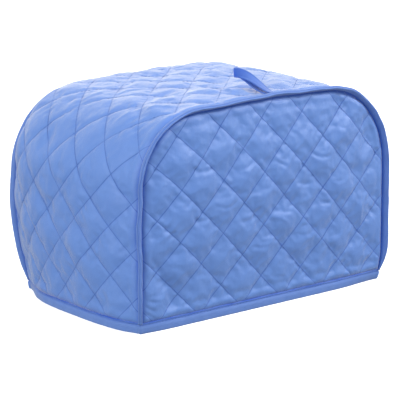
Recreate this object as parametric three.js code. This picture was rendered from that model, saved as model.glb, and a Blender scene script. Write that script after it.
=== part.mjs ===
// A quilted fabric cover for a two-slice toaster, standing empty on its hem.
// Two arched end panels are joined by one long band that runs up the left side,
// over the top and down the right side. The seams are bound with folded tape that
// stands out as a ridge, the bottom edge is bound too, and a tape loop is caught in
// the front seam at the top.
// Millimetres, +Z up. The front panel faces -Y, and the origin lies on the resting
// plane under the middle of the cover.

import * as THREE from 'three';

// Overall sizes, from seam to seam
const SEAM_WIDTH = 288;
const SEAM_DEPTH = 200;
const SEAM_HEIGHT = 188;
const LEFT_RADIUS = 59;
const RIGHT_RADIUS = 72;

// How far the soft walls bow out of their seams
const PANEL_BOW = 7;
const PANEL_BOW_FADE = 110;
const SIDE_BOW = 16;
const TOP_BOW = 1.5;
const SIDE_FULLNESS = 3;
const TOP_FULLNESS = 4;
const HEM_BOW_SHARE = 0.6;
const HEM_BOW_FADE = 75;
const CROWN = 5.2;
const CROWN_FALL = 5;
const CROWN_CENTRE = 40;
const FRONT_LEFT_DRAW = 1.6;
const FRONT_LEFT_DROP = 2.4;
const DRAW_FADE = 60;
const FRONT_LEFT_WAIST = 2;
const WAIST_HEIGHT = 129;
const WAIST_REACH = 21;

// The top rises to the back, more on the right, and then rolls down to the back seam
const TOP_RISE = 6.5;
const TOP_TWIST = 2;
const BACK_ROLL = 9;
const BACK_ROLL_START = 82;
const BACK_ROLL_END = 98;
const BACK_ROLL_FOOT = 60;
const FRONT_RIDGE_LEAN = 0.32;
const BACK_RIDGE_LEAN = 0.3;

// Quilting: the half-diagonals of the stitched squares and one crossing of each cloth
const PANEL_QUILT = { across: 23.8, up: 23.6, crossing: [-57.4, 171.6] };
const BAND_QUILT = { across: 22.7, up: 22.7, crossing: [163.1, 44.5] };
const PILLOW = 2.3;
const INNER_PILLOW = 0.5;
const PILLOW_SHARPNESS = 2.3;
const PILLOW_UNEVENNESS = 0.35;
const CLOTH = 1.5;
const EDGE_FADE = 7;

// Bindings and clearances
const GAP = 0.35;
const HEM_HEIGHT = 10;
const HEM_THICKNESS = 4.5;
const HEM_CORNER = 3;
const RIDGE_HEIGHT = 7.4;
const RIDGE_THICKNESS = 3.8;
const RIDGE_ROOT = 0.15;
const RIDGE_FOOT_SHARE = 0.38;
const RIDGE_FOOT_FADE = 34;
const FOLD_SHOULDER = 1.4;
const SHEET_INSET = 1.2;

// The seam ridges sway a little: angle in radians and wavelength over 2 pi for each wave
const RIDGE_SWAY = [
  { angle: 0.07, wave: 17 },
  { angle: 0.05, wave: 7.3 },
];

// Tape loop at the top of the front seam
const LOOP_CENTRE = 1.5;
const LOOP_LENGTH = 46;
const LOOP_WIDTH = 9;
const LOOP_THICKNESS = 1.6;
const LOOP_BASE_RISE = 3.7;
const LOOP_TIP_RISE = 10.5;
const LOOP_SPREAD = 2.2;
const LOOP_TIP_SPREAD = 2.1;
const LOOP_START_SPREAD = 0.35;
const LOOP_START_INSET = 0.9;
const LOOP_TURN_RATE = 1.7;
const LOOP_LEAN = 0.1;

// Lower corners that sag inwards, seen from the front
const CORNERS = [
  { name: 'front left', x: -1, y: -1, draw: 2.2, height: 30, spread: 11, fall: 1.6 },
  { name: 'front right', x: 1, y: -1, draw: 4.4, height: 32, spread: 26, fall: 2 },
  { name: 'back left', x: -1, y: 1, draw: 9, height: 95, spread: 28, fall: 1.3 },
  { name: 'back right', x: 1, y: 1, draw: 7, height: 60, spread: 26, fall: 1.5 },
];

// Soft creases in the cloth: middle, direction in degrees, half-length, half-width, height.
// On the panels the middle is given across and up, on the band along and across.
const FRONT_CREASES = [
  { at: [-118, 38], turn: -62, length: 26, width: 7, height: -1.6 },
  { at: [-96, 62], turn: -55, length: 24, width: 8, height: 1.2 },
  { at: [112, 128], turn: 62, length: 30, width: 9, height: -1.8 },
  { at: [88, 150], turn: 40, length: 28, width: 9, height: 1.4 },
  { at: [20, 96], turn: 12, length: 42, width: 12, height: -1.3 },
  { at: [62, 52], turn: -28, length: 38, width: 11, height: 1.5 },
  { at: [-40, 140], turn: 20, length: 34, width: 10, height: -1.2 },
];
const BACK_CREASES = [
  { at: [-70, 120], turn: -35, length: 34, width: 10, height: -1.5 },
  { at: [54, 84], turn: 24, length: 40, width: 12, height: 1.6 },
  { at: [8, 44], turn: -8, length: 44, width: 11, height: -1.3 },
  { at: [104, 140], turn: 52, length: 26, width: 9, height: 1.3 },
  { at: [-112, 52], turn: 68, length: 28, width: 8, height: 1.2 },
];
const BAND_CREASES = [
  { at: [96, 8], turn: 76, length: 46, width: 12, height: -1.8 },
  { at: [58, -28], turn: 24, length: 30, width: 10, height: 1.5 },
  { at: [152, 30], turn: -66, length: 34, width: 9, height: -1.5 },
  { at: [206, -62], turn: 74, length: 26, width: 7, height: 1.9 },
  { at: [236, -34], turn: 20, length: 34, width: 9, height: -1.8 },
  { at: [282, -58], turn: -28, length: 28, width: 8, height: 2.2 },
  { at: [318, -16], turn: 52, length: 40, width: 11, height: -2.2 },
  { at: [352, -66], turn: 66, length: 24, width: 7, height: 2.0 },
  { at: [378, 18], turn: -38, length: 38, width: 10, height: 1.6 },
  { at: [300, 52], turn: 12, length: 44, width: 12, height: -1.6 },
  { at: [452, -10], turn: 62, length: 36, width: 10, height: -1.6 },
  { at: [520, 34], turn: -24, length: 34, width: 10, height: 1.6 },
  { at: [566, -30], turn: 70, length: 32, width: 9, height: -1.5 },
];

const SAG_TOP = 48;
const LEFT_ARC = (LEFT_RADIUS * Math.PI) / 2;
const RIGHT_ARC = (RIGHT_RADIUS * Math.PI) / 2;
const LEFT_RISE = SEAM_HEIGHT - LEFT_RADIUS;
const RIGHT_RISE = SEAM_HEIGHT - RIGHT_RADIUS;
const TOP_RUN = SEAM_WIDTH - LEFT_RADIUS - RIGHT_RADIUS;
const ARCH_LENGTH = LEFT_RISE + LEFT_ARC + TOP_RUN + RIGHT_ARC + RIGHT_RISE;
const SHEET_FOOT = HEM_HEIGHT + GAP;
const BAND_HALF = SEAM_DEPTH / 2 - SHEET_INSET;

const clamp01 = (value) => THREE.MathUtils.clamp(value, 0, 1);
const smooth = (value) => THREE.MathUtils.smoothstep(value, 0, 1);

// A repeatable value from 0 to 1 for each pair of whole numbers
function chance(a, b) {
  const wave = Math.sin(a * 12.9898 + b * 78.233) * 43758.5453;
  return wave - Math.floor(wave);
}

// Point and outward normal at a length along the arch, from the left foot to the right
function archAt(along) {
  const half = SEAM_WIDTH / 2;
  if (along < LEFT_RISE) {
    return { x: -half, z: along, nx: -1, nz: 0 };
  }
  if (along < LEFT_RISE + LEFT_ARC) {
    const angle = (along - LEFT_RISE) / LEFT_RADIUS;
    const nx = -Math.cos(angle);
    const nz = Math.sin(angle);
    return { x: -half + LEFT_RADIUS * (1 + nx), z: LEFT_RISE + LEFT_RADIUS * nz, nx, nz };
  }
  const overTop = along - LEFT_RISE - LEFT_ARC;
  if (overTop < TOP_RUN) {
    return { x: -half + LEFT_RADIUS + overTop, z: SEAM_HEIGHT, nx: 0, nz: 1 };
  }
  if (overTop < TOP_RUN + RIGHT_ARC) {
    const angle = (overTop - TOP_RUN) / RIGHT_RADIUS;
    const nx = Math.sin(angle);
    const nz = Math.cos(angle);
    return { x: half - RIGHT_RADIUS * (1 - nx), z: RIGHT_RISE + RIGHT_RADIUS * nz, nx, nz };
  }
  return { x: half, z: ARCH_LENGTH - along, nx: 1, nz: 0 };
}

// The sag that every piece shares, so that pieces which meet stay together
function settle(point) {
  for (const corner of CORNERS) {
    const dx = point.x - (corner.x * SEAM_WIDTH) / 2;
    const dy = point.y - (corner.y * SEAM_DEPTH) / 2;
    const near = Math.exp(-(dx * dx + dy * dy) / (2 * corner.spread ** 2));
    const low = clamp01(1 - point.z / corner.height) ** corner.fall;
    point.x -= corner.x * corner.draw * near * low;
    point.y -= corner.y * corner.draw * near * low;
  }
  const sideways = (2 * point.x) / SEAM_WIDTH;
  const high = smooth(point.z / SEAM_HEIGHT);
  const offCentre = sideways - (2 * CROWN_CENTRE) / SEAM_WIDTH;
  const back = clamp01((point.y - BACK_ROLL_START) / (BACK_ROLL_END - BACK_ROLL_START));
  const upper = smooth((point.z - BACK_ROLL_FOOT) / (SEAM_HEIGHT - BACK_ROLL_FOOT));
  const rolled = BACK_ROLL * back * back * upper;
  const backward = point.y / SEAM_DEPTH + 0.5;
  const frontLeft = clamp01(-sideways) * clamp01(1 - backward);
  const waist = FRONT_LEFT_WAIST * Math.exp(-(((point.z - WAIST_HEIGHT) / WAIST_REACH) ** 2));
  const draw = FRONT_LEFT_DRAW * smooth(point.z / DRAW_FADE) + waist;
  point.x += draw * frontLeft - rolled * sideways;
  const rise = (TOP_RISE + TOP_TWIST * sideways) * backward - FRONT_LEFT_DROP * frontLeft;
  point.z += high * (CROWN - CROWN_FALL * offCentre * offCentre + rise) - rolled;
  return point;
}

// How far the band bows out of the seams at a place on it
function bandBow(along, across) {
  const { z, nz } = archAt(along);
  const up = clamp01(nz);
  const hem = HEM_BOW_SHARE + (1 - HEM_BOW_SHARE) * smooth(z / HEM_BOW_FADE);
  const off = clamp01(Math.abs(across) / BAND_HALF);
  return SIDE_BOW * hem * (1 - up) * (1 - off ** SIDE_FULLNESS) + TOP_BOW * up * (1 - off ** TOP_FULLNESS);
}

// A place on the band, lifted off its middle surface
function onBand(along, across, lift) {
  const { x, z, nx, nz } = archAt(along);
  const out = bandBow(along, across) + lift;
  return settle(new THREE.Vector3(x + nx * out, across, z + nz * out));
}

// How far an end panel bows out: nothing at the seam, level past one corner radius from it
function panelBow(across, up) {
  const leftCentre = -SEAM_WIDTH / 2 + LEFT_RADIUS;
  const rightCentre = SEAM_WIDTH / 2 - RIGHT_RADIUS;
  const share = smooth((across - leftCentre) / TOP_RUN);
  const radius = THREE.MathUtils.lerp(LEFT_RADIUS, RIGHT_RADIUS, share);
  const beyond = Math.max(leftCentre - across, across - rightCentre, 0);
  const above = Math.max(up - SEAM_HEIGHT + radius, 0);
  const left = clamp01(Math.hypot(beyond, above) / radius);
  return PANEL_BOW * (1 - left * left) * smooth(up / PANEL_BOW_FADE);
}

// A place on an end panel, front (side -1) or back (side 1)
function onPanel(side, across, up, lift) {
  const out = SEAM_DEPTH / 2 + panelBow(across, up) + lift;
  return settle(new THREE.Vector3(across, side * out, up));
}

// Height of the padding between the stitch lines, 0 on a line and about 1 mid-square
function padding(quilt, a, b) {
  const right = (a - quilt.crossing[0]) / quilt.across;
  const up = (b - quilt.crossing[1]) / quilt.up;
  const p = (right + up) / 2;
  const q = (right - up) / 2;
  const column = Math.floor(p);
  const row = Math.floor(q);
  const pSide = Math.abs(2 * (p - column) - 1);
  const qSide = Math.abs(2 * (q - row) - 1);
  const dome = (1 - pSide ** PILLOW_SHARPNESS) * (1 - qSide ** PILLOW_SHARPNESS);
  return dome * (1 + PILLOW_UNEVENNESS * (chance(column, row) - 0.5) * 2);
}

// Sum of the soft creases at a place on a cloth
function creased(creases, a, b) {
  let height = 0;
  for (const crease of creases) {
    const turn = THREE.MathUtils.degToRad(crease.turn);
    const da = a - crease.at[0];
    const db = b - crease.at[1];
    const along = (da * Math.cos(turn) + db * Math.sin(turn)) / crease.length;
    const across = (db * Math.cos(turn) - da * Math.sin(turn)) / crease.width;
    height += crease.height * Math.exp(-along * along - across * across);
  }
  return height;
}

// Signed distance of a point inside one edge of an anticlockwise outline
function insideEdge(point, from, to) {
  const edge = to.clone().sub(from).normalize();
  return edge.x * (point.y - from.y) - edge.y * (point.x - from.x);
}

function insideOutline(point, outline) {
  return Math.min(
    ...outline.map((from, k) => insideEdge(point, from, outline[(k + 1) % outline.length])),
  );
}

// The part of a small polygon on the inner side of one edge
function clipToEdge(polygon, from, to) {
  const kept = [];
  polygon.forEach((here, k) => {
    const next = polygon[(k + 1) % polygon.length];
    const a = insideEdge(here, from, to);
    const b = insideEdge(next, from, to);
    if (a >= -1e-7) kept.push(here);
    if ((a > 1e-7 && b < -1e-7) || (a < -1e-7 && b > 1e-7)) {
      kept.push(here.clone().lerp(next, a / (a - b)));
    }
  });
  return kept;
}

// Merges points that lie within a short distance of an earlier one
function pointStore(nearness) {
  const points = [];
  const find = (point) => {
    const known = points.findIndex((other) => other.distanceTo(point) < nearness);
    if (known >= 0) return known;
    points.push(point.clone());
    return points.length - 1;
  };
  return { points, find };
}

// Flat triangles that fill a convex outline with every stitch line on triangle edges.
// Two grid cells span half a square, and their diagonals follow the stitching.
function quiltTriangles(outline, quilt) {
  const stepA = quilt.across / 2;
  const stepB = quilt.up / 2;
  const snap = 0.22 * Math.min(stepA, stepB);
  const weld = 0.12 * Math.min(stepA, stepB);
  const box = new THREE.Box2().setFromPoints(outline);
  const range = (low, high, origin, step) => [
    Math.floor((low - origin) / step) - 1,
    Math.ceil((high - origin) / step) + 1,
  ];
  const [i0, i1] = range(box.min.x, box.max.x, quilt.crossing[0], stepA);
  const [j0, j1] = range(box.min.y, box.max.y, quilt.crossing[1], stepB);
  const node = (i, j) => {
    const point = new THREE.Vector2(quilt.crossing[0] + i * stepA, quilt.crossing[1] + j * stepB);
    outline.forEach((from, k) => {
      const to = outline[(k + 1) % outline.length];
      const inside = insideEdge(point, from, to);
      if (Math.abs(inside) < snap && insideOutline(point, outline) > -snap) {
        const edge = to.clone().sub(from).normalize();
        point.x += edge.y * inside;
        point.y -= edge.x * inside;
      }
    });
    return point;
  };
  const store = pointStore(weld);
  outline.forEach((corner) => store.find(corner));
  const triangles = [];
  for (let i = i0; i < i1; i += 1) {
    for (let j = j0; j < j1; j += 1) {
      const [a, b, c, d] = [node(i, j), node(i + 1, j), node(i + 1, j + 1), node(i, j + 1)];
      const rising = (i - j) % 2 === 0;
      const halves = rising ? [[a, b, c], [a, c, d]] : [[a, b, d], [b, c, d]];
      for (const half of halves) {
        const kept = outline.reduce(
          (part, from, k) =>
            part.length ? clipToEdge(part, from, outline[(k + 1) % outline.length]) : part,
          half,
        );
        const ids = kept.map((point) => store.find(point));
        const ring = ids.filter((id, k) => id !== ids[(k + 1) % ids.length]);
        for (let k = 1; k + 1 < ring.length; k += 1) {
          if (new Set([ring[0], ring[k], ring[k + 1]]).size === 3) {
            triangles.push([ring[0], ring[k], ring[k + 1]]);
          }
        }
      }
    }
  }
  return { points: store.points, triangles };
}

// The directed edges that only one triangle uses, which are the cloth's cut edge
function rimEdges(triangles) {
  const seen = new Set();
  for (const [a, b, c] of triangles) {
    seen.add(`${a},${b}`).add(`${b},${c}`).add(`${c},${a}`);
  }
  return [...seen]
    .map((key) => key.split(',').map(Number))
    .filter(([a, b]) => !seen.has(`${b},${a}`));
}

function closedGeometry(points, triangles) {
  const geometry = new THREE.BufferGeometry();
  geometry.setFromPoints(points);
  geometry.setIndex(triangles.flat());
  return geometry;
}

// A quilted cloth as one closed body: padded outer face, flatter inner face, cut edge.
// `place` maps a spot on the flat cloth and a lift to the hung shape.
function quiltedCloth(outline, quilt, creases, place, mirrored) {
  const { points, triangles } = quiltTriangles(outline, quilt);
  const outer = [];
  const inner = [];
  for (const point of points) {
    const edge = smooth(insideOutline(point, outline) / EDGE_FADE);
    const pad = padding(quilt, point.x, point.y) * edge;
    const crease = creased(creases, point.x, point.y) * edge;
    outer.push(place(point.x, point.y, CLOTH / 2 + PILLOW * pad + crease));
    inner.push(place(point.x, point.y, -CLOTH / 2 - INNER_PILLOW * pad + crease));
  }
  const count = points.length;
  const faces = [];
  for (const [a, b, c] of triangles) {
    faces.push([a, b, c], [count + a, count + c, count + b]);
  }
  for (const [a, b] of rimEdges(triangles)) {
    faces.push([b, a, count + a], [b, count + a, count + b]);
  }
  const turned = mirrored ? faces.map(([a, b, c]) => [a, c, b]) : faces;
  return closedGeometry([...outer, ...inner], turned);
}

// A closed body swept through rings of points; a closed sweep joins its last ring to its first
function sweptBody(rings, closedSweep) {
  const size = rings[0].length;
  const faces = [];
  const spans = closedSweep ? rings.length : rings.length - 1;
  for (let r = 0; r < spans; r += 1) {
    const here = r * size;
    const next = ((r + 1) % rings.length) * size;
    for (let k = 0; k < size; k += 1) {
      const m = (k + 1) % size;
      faces.push([here + k, here + m, next + m], [here + k, next + m, next + k]);
    }
  }
  if (!closedSweep) {
    const last = (rings.length - 1) * size;
    for (let k = 1; k + 1 < size; k += 1) {
      faces.push([0, k + 1, k], [last, last + k, last + k + 1]);
    }
  }
  return closedGeometry(rings.flat(), faces);
}

// Cut outline of an end panel: the arch set in from its seam, down to the hem binding
function panelOutline() {
  const foot = SHEET_FOOT;
  const steps = 10;
  const outline = [];
  const set = (along) => {
    const { x, z, nx, nz } = archAt(along);
    outline.push(new THREE.Vector2(x - nx * SHEET_INSET, z - nz * SHEET_INSET));
  };
  set(foot);
  for (let k = 0; k <= steps; k += 1) set(LEFT_RISE + (LEFT_ARC * k) / steps);
  for (let k = 0; k <= steps; k += 1) set(LEFT_RISE + LEFT_ARC + TOP_RUN + (RIGHT_ARC * k) / steps);
  set(ARCH_LENGTH - foot);
  return outline.reverse();
}

// Cut outline of the band: a long strip from hem to hem, between the two seams
function bandOutline() {
  return [
    new THREE.Vector2(SHEET_FOOT, -BAND_HALF),
    new THREE.Vector2(ARCH_LENGTH - SHEET_FOOT, -BAND_HALF),
    new THREE.Vector2(ARCH_LENGTH - SHEET_FOOT, BAND_HALF),
    new THREE.Vector2(SHEET_FOOT, BAND_HALF),
  ];
}

function frontPanel() {
  const place = (a, b, lift) => onPanel(-1, a, b, lift);
  return quiltedCloth(panelOutline(), PANEL_QUILT, FRONT_CREASES, place, false);
}

function backPanel() {
  const place = (a, b, lift) => onPanel(1, a, b, lift);
  return quiltedCloth(panelOutline(), PANEL_QUILT, BACK_CREASES, place, true);
}

function sideAndTopBand() {
  return quiltedCloth(bandOutline(), BAND_QUILT, BAND_CREASES, onBand, false);
}

// Folded tape over a seam's raw edges, standing out between the panel and the band
function seamBinding(side) {
  const half = RIDGE_THICKNESS / 2;
  const section = [
    { out: RIDGE_ROOT, aside: -half },
    { out: RIDGE_HEIGHT - FOLD_SHOULDER, aside: -half },
    { out: RIDGE_HEIGHT, aside: -half / 2 },
    { out: RIDGE_HEIGHT, aside: half / 2 },
    { out: RIDGE_HEIGHT - FOLD_SHOULDER, aside: half },
    { out: RIDGE_ROOT, aside: half },
  ];
  const marks = [];
  const spread = (from, to, steps) => {
    for (let k = 0; k < steps; k += 1) marks.push(from + ((to - from) * k) / steps);
  };
  const topStart = LEFT_RISE + LEFT_ARC;
  const topEnd = topStart + TOP_RUN;
  spread(SHEET_FOOT, SAG_TOP, 6);
  spread(SAG_TOP, LEFT_RISE, 4);
  spread(LEFT_RISE, topStart, 10);
  spread(topStart, topEnd, 9);
  spread(topEnd, topEnd + RIGHT_ARC, 10);
  spread(topEnd + RIGHT_ARC, ARCH_LENGTH - SAG_TOP, 4);
  spread(ARCH_LENGTH - SAG_TOP, ARCH_LENGTH - SHEET_FOOT, 6);
  marks.push(ARCH_LENGTH - SHEET_FOOT);
  const rings = marks.map((along) => {
    const { x, z, nx, nz } = archAt(along);
    const sway = RIDGE_SWAY.reduce(
      (sum, { angle, wave }) => sum + angle * Math.sin(along / wave + side),
      0,
    );
    const lean = Math.PI / 4 + sway + (side > 0 ? BACK_RIDGE_LEAN : FRONT_RIDGE_LEAN) * clamp01(nz);
    const below = 1 - clamp01((z - SHEET_FOOT) / RIDGE_FOOT_FADE);
    const reach = THREE.MathUtils.lerp(1, RIDGE_FOOT_SHARE, below * below);
    return section.map(({ out, aside }) => {
      const off = out * reach * Math.cos(lean) + aside * Math.sin(Math.PI / 4);
      const forward = out * reach * Math.sin(lean) - aside * Math.cos(Math.PI / 4);
      const y = side * (SEAM_DEPTH / 2 + forward);
      return settle(new THREE.Vector3(x + nx * off, y, z + nz * off));
    });
  });
  if (side < 0) rings.forEach((ring) => ring.reverse());
  return sweptBody(rings, false);
}

// Folded tape over the bottom edge, one closed ring that the cover stands on
function hemBinding() {
  const half = HEM_THICKNESS / 2;
  const section = [
    { out: half, up: 0 },
    { out: half, up: HEM_HEIGHT - FOLD_SHOULDER },
    { out: half / 2, up: HEM_HEIGHT },
    { out: -half / 2, up: HEM_HEIGHT },
    { out: -half, up: HEM_HEIGHT - FOLD_SHOULDER },
    { out: -half, up: 0 },
  ];
  const halfWidth = SEAM_WIDTH / 2;
  const halfDepth = SEAM_DEPTH / 2;
  const stations = [];
  const corner = (x, y) => {
    stations.push({ x, y, dx: Math.sign(x), dy: Math.sign(y), stretch: HEM_CORNER / half / Math.SQRT2 });
  };
  const run = (steps, station) => {
    for (let k = 1; k < steps; k += 1) stations.push(station((1 - Math.cos((Math.PI * k) / steps)) / 2));
  };
  const sideStation = (sign) => (share) => {
    const y = sign * halfDepth * (2 * share - 1);
    const bow = bandBow(0, y);
    return { x: sign * (halfWidth + bow), y, dx: sign, dy: 0, stretch: 1 };
  };
  const endStation = (sign) => (share) => ({
    x: sign * halfWidth * (1 - 2 * share), y: sign * halfDepth, dx: 0, dy: sign, stretch: 1,
  });
  corner(-halfWidth, -halfDepth);
  run(16, endStation(-1));
  corner(halfWidth, -halfDepth);
  run(12, sideStation(1));
  corner(halfWidth, halfDepth);
  run(16, endStation(1));
  corner(-halfWidth, halfDepth);
  run(12, sideStation(-1));
  const rings = stations.map(({ x, y, dx, dy, stretch }) =>
    section.map(({ out, up }) => {
      const reach = out > 0 ? out * stretch : out;
      return settle(new THREE.Vector3(x + dx * reach, y + dy * reach, up));
    }),
  );
  return sweptBody(rings.map((ring) => ring.reverse()), true);
}

// A folded tape caught in the front seam: two legs that start flat side by side, turn
// on edge and meet in a narrow fold, lying back over the top
function tapeLoop() {
  const legSteps = 9;
  const foldSteps = 4;
  const spine = [];
  const leg = (sign, share) => {
    const turn = (Math.PI / 2 + sign * LOOP_LEAN) * smooth(share * LOOP_TURN_RATE);
    const spread = THREE.MathUtils.lerp(LOOP_START_SPREAD, LOOP_TIP_SPREAD, smooth(share * 2));
    const edge = spread + LOOP_SPREAD * Math.sin(Math.PI * share) ** 1.5;
    const low = THREE.MathUtils.lerp(LOOP_BASE_RISE, LOOP_TIP_RISE, smooth(share));
    const wide = new THREE.Vector2(sign * Math.cos(turn), Math.sin(turn));
    const across = -SEAM_DEPTH / 2 + LOOP_START_INSET + (LOOP_LENGTH - LOOP_TIP_SPREAD) * share;
    return { x: sign * edge, y: across, low, wide };
  };
  for (let k = 0; k <= legSteps; k += 1) spine.push(leg(-1, k / legSteps));
  for (let k = 1; k < foldSteps; k += 1) {
    const angle = (Math.PI * k) / foldSteps;
    const end = leg(1, 1);
    spine.push({
      x: -Math.cos(angle) * end.x, y: end.y + Math.sin(angle) * end.x, low: end.low, wide: end.wide,
    });
  }
  for (let k = legSteps; k >= 0; k -= 1) spine.push(leg(1, k / legSteps));
  const middleTop = LEFT_RISE + LEFT_ARC + SEAM_WIDTH / 2 - LEFT_RADIUS + LOOP_CENTRE;
  const edges = spine.map(({ x, y, low, wide }) => [
    onBand(middleTop + x, y, low),
    onBand(middleTop + x + wide.x * LOOP_WIDTH, y, low + wide.y * LOOP_WIDTH),
  ]);
  const rings = edges.map(([low, high], k) => {
    const before = edges[Math.max(k - 1, 0)];
    const after = edges[Math.min(k + 1, edges.length - 1)];
    const travel = after[0].clone().add(after[1]).sub(before[0]).sub(before[1]).normalize();
    const face = travel.cross(high.clone().sub(low)).normalize().multiplyScalar(LOOP_THICKNESS / 2);
    return [low.clone().sub(face), high.clone().sub(face), high.clone().add(face), low.clone().add(face)];
  });
  return sweptBody(rings, false);
}

// Quilted polyester and its matching tape
const quiltedPolyester = () =>
  new THREE.MeshStandardMaterial({ color: 0x6c93dd, roughness: 0.62, metalness: 0 });
const bindingTape = () =>
  new THREE.MeshStandardMaterial({ color: 0x5c84d4, roughness: 0.7, metalness: 0 });

function piece(name, geometry, material) {
  const mesh = new THREE.Mesh(geometry, material);
  mesh.name = name;
  return mesh;
}

const cover = new THREE.Group();
cover.add(
  piece('front_panel', frontPanel(), quiltedPolyester()),
  piece('back_panel', backPanel(), quiltedPolyester()),
  piece('side_and_top_band', sideAndTopBand(), quiltedPolyester()),
  piece('front_seam_binding', seamBinding(-1), bindingTape()),
  piece('back_seam_binding', seamBinding(1), bindingTape()),
  piece('hem_binding', hemBinding(), bindingTape()),
  piece('tape_loop', tapeLoop(), bindingTape()),
);

export default cover;
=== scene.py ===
# A quilted fabric cover for a toaster, standing empty on its hem, in metres.
# +Z is up and the front panel faces -Y. Each cloth is cut flat along its own stitch
# lines, hung on the cover's shape and puffed by a short cloth simulation that holds the
# stitching. The bindings, the loop and the thread are swept along the same shape.
import math

import bmesh
import bpy
import numpy as np
from mathutils import Matrix, Vector


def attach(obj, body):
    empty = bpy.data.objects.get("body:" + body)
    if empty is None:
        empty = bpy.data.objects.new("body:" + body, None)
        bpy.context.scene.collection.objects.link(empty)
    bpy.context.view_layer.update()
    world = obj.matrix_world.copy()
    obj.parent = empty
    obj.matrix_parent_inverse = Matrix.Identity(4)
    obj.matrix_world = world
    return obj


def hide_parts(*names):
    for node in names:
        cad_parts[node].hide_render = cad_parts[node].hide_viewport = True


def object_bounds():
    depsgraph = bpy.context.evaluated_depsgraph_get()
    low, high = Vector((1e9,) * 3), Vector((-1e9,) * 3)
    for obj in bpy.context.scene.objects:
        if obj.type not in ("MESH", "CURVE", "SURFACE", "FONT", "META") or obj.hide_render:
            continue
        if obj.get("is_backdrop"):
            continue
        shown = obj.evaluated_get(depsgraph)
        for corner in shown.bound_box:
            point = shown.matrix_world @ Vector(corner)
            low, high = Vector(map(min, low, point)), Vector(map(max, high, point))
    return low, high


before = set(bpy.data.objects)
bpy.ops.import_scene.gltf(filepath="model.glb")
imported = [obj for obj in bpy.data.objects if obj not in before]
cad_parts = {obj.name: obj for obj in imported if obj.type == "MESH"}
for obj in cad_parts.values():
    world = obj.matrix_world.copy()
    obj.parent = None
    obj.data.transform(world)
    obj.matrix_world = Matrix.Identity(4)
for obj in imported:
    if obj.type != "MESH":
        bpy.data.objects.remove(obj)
cad_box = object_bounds()

# Overall sizes, from seam to seam
SEAM_WIDTH = 0.288
SEAM_DEPTH = 0.200
SEAM_HEIGHT = 0.188
LEFT_RADIUS = 0.059
RIGHT_RADIUS = 0.072

# How far the soft walls bow out of their seams
PANEL_BOW = 0.007
PANEL_BOW_FADE = 0.110
SIDE_BOW = 0.016
TOP_BOW = 0.0015
SIDE_FULLNESS = 3
TOP_FULLNESS = 4
HEM_BOW_SHARE = 0.6
HEM_BOW_FADE = 0.075
CROWN = 0.0052
CROWN_FALL = 0.005
CROWN_CENTRE = 0.040
FRONT_LEFT_DRAW = 0.0016
FRONT_LEFT_DROP = 0.0024
DRAW_FADE = 0.060
FRONT_LEFT_WAIST = 0.002
WAIST_HEIGHT = 0.129
WAIST_REACH = 0.021
TOP_RISE = 0.0065
TOP_TWIST = 0.002
BACK_ROLL = 0.009
BACK_ROLL_START = 0.082
BACK_ROLL_END = 0.098
BACK_ROLL_FOOT = 0.060
FRONT_RIDGE_LEAN = 0.32
BACK_RIDGE_LEAN = 0.3

# Cloth, bindings and loop
CLOTH = 0.0015
PANEL_PUFF = 0.0020
SIDE_PUFF = 0.0019
TOP_PUFF = 0.0012
PILLOW_SHARPNESS = 2.3
PILLOW_LEAST = 0.8
PILLOW_SPREAD = 0.4
INNER_PILLOW = 0.0012
INNER_CLOTH = 0.0013
EDGE_FADE = 0.007
WRINKLE_DEPTH = 0.58
EDGE_PUFF = 0.0014
EDGE_PUFF_WIDTH = 0.012
EDGE_INSET = 0.0006
HEM_HEIGHT = 0.010
HEM_HALF = 0.00225
HEM_CORNER = 0.0031
RIDGE_HEIGHT = 0.0074
RIDGE_FOOT_SHARE = 0.38
RIDGE_FOOT_FADE = 0.034
BAND_INSET = 0.0012
BAND_HALF = SEAM_DEPTH / 2 - BAND_INSET
FOOT_SUNK = 0.0008
LOOP_CENTRE = 0.0015
LOOP_LENGTH = 0.046
LOOP_WIDTH = 0.009
LOOP_START_PAST = 0.0016
LOOP_START_INSET = 0.0009
LOOP_BASE_RISE = 0.0037
LOOP_TIP_RISE = 0.0105
LOOP_SPREAD = 0.0009
LOOP_FOOT_SPREAD = 0.0009
LOOP_TIP_SPREAD = 0.0014
LOOP_FOOT_ASIDE = -0.0015
LOOP_FOOT_TURN = -0.22
LOOP_TIP_TURN = 1.62
LOOP_TURN_POWER = 2.4

# Where the top begins and ends along the band, and where the painted shade along its stitch lines
# weakens
TOP_START = 0.10
TOP_END = 0.52
TOP_FADE = 0.09
LINE_SHADE_FADE_START = 0.13
LINE_SHADE_FADE_END = 0.20

# How the cloth is held and puffed: the stitch line's half-width is counted in squares
STITCH_LINE = 0.02
HELD_EDGE = 0.0015
CLOTH_SETTINGS = {
    "quality": 5, "mass": 0.12, "tension_stiffness": 12, "compression_stiffness": 12,
    "shear_stiffness": 4, "bending_stiffness": 0.35, "use_pressure": True,
    "uniform_pressure_force": 2.0, "shrink_min": -0.014,
}
PUFF_STEPS = 14
PUFF_LIMIT = 0.0022
STITCH_CREASE = 0.85

# Fine relief: curved wrinkles, each a salt and the share of squares with it, and gathers
CRESCENT_DEPTH = 0.07
CRESCENTS = [(3, 0.95), (11, 0.7), (23, 0.5)]
PUCKER_HEIGHT = 0.0007
PUCKER_REACH = 0.0045
PUCKER_START = 0.0015
PUCKERS_IN_SQUARE = 8
FINE_PUCKERS_IN_SQUARE = 15

# Painted shade in the crevices beside the bindings, which wanders in width
PAINTED_SHADE_REACH = 0.0014
PAINTED_SHADE_MORE_ABOVE = 0.0004
ABOVE_START = 0.100
ABOVE_FADE = 0.060
BAND_PAINTED_SHADE_REACH = 0.0019
PAINTED_SHADE_WANDER = 0.45

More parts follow.
